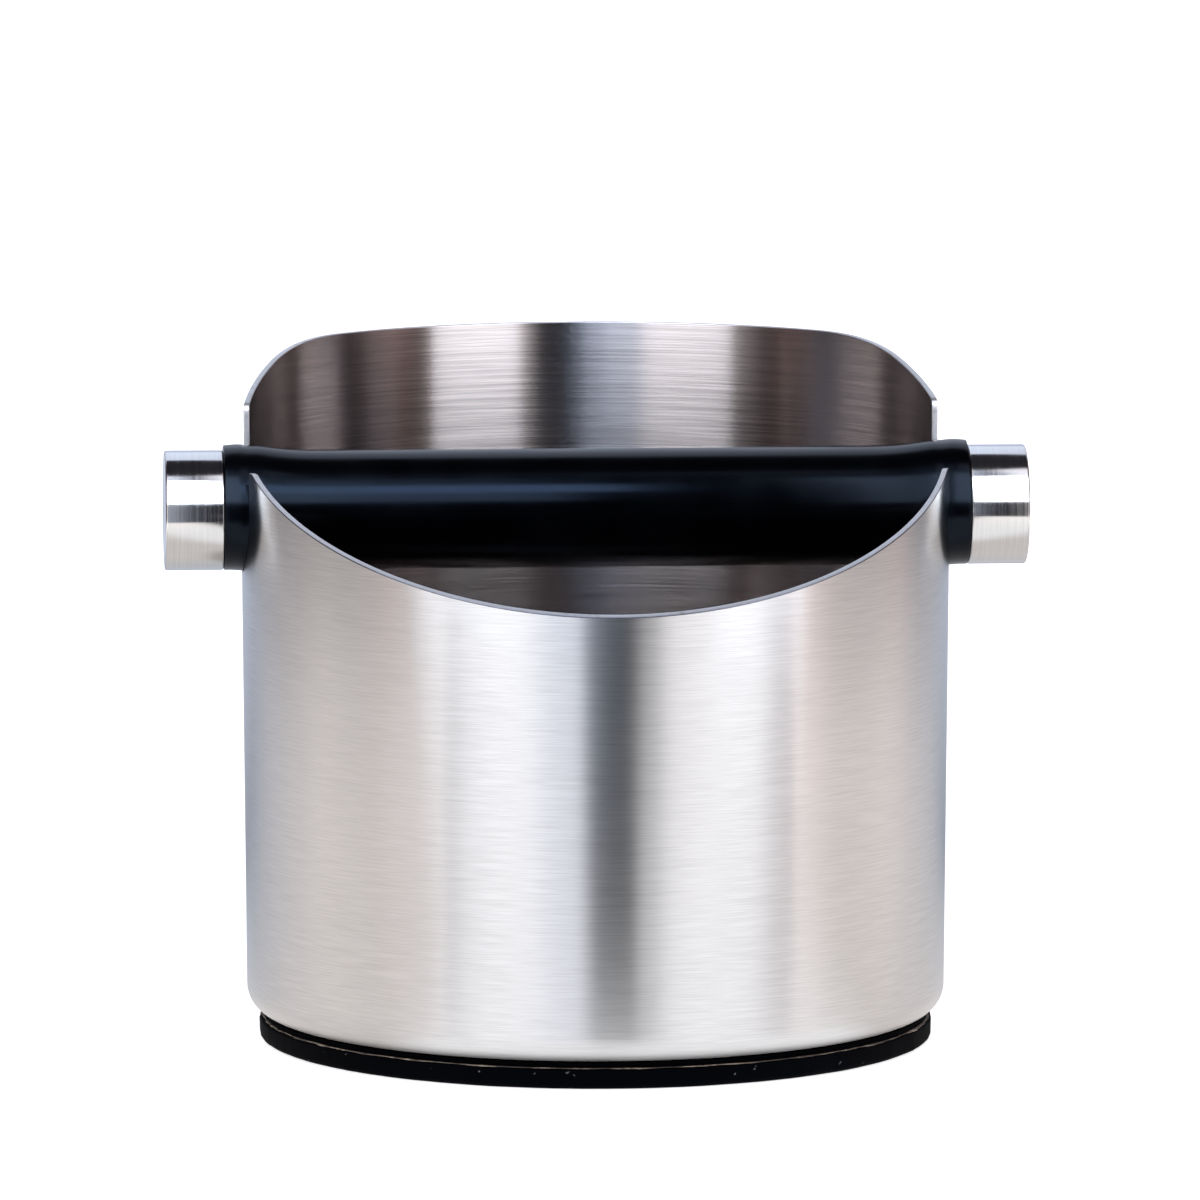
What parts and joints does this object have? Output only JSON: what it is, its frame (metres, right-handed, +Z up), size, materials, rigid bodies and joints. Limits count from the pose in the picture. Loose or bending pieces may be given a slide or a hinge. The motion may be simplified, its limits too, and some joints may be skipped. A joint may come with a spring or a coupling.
{
  "type": "espresso knock box",
  "caption": "Round steel countertop bin with an oblique mouth, a lift-out rubber-covered knock bar across open slots, and a soft non-slip base.",
  "frame": {"origin": "middle of the base's underside, on the can's axis", "axes": "+Z up; X along the knock bar, with +X to the right seen from the low front lip; +Y towards the high rear wall"},
  "size_m": [0.15, 0.1233, 0.1187],
  "materials": {
    "brushed_steel": "fine circumferential brushing",
    "foam": "matte black foam",
    "adhesive": "beige adhesive film",
    "base_rubber": "matte black, slightly dusty",
    "rod_steel": "turned",
    "sleeve_rubber": "satin black rubber",
    "cap_steel": "fine turned, almost polished",
    "stud_steel": "zinc plated"
  },
  "bodies": {
    "can": {"body_shell": "brushed_steel", "foam_layer": "foam", "adhesive_film": "adhesive", "base_pad": "base_rubber"},
    "knock_bar": {"bar_core": "rod_steel", "bar_sleeve": "sleeve_rubber", "end_cap_left": "cap_steel", "end_cap_right": "cap_steel", "cap_stud_left": "stud_steel", "cap_stud_right": "stud_steel"}
  },
  "joints": [
    {"name": "bar_lift", "type": "slide", "parent": "can", "child": "knock_bar", "axis": [0, 0, 1], "range_m": [0, 0.06]}
  ]
}
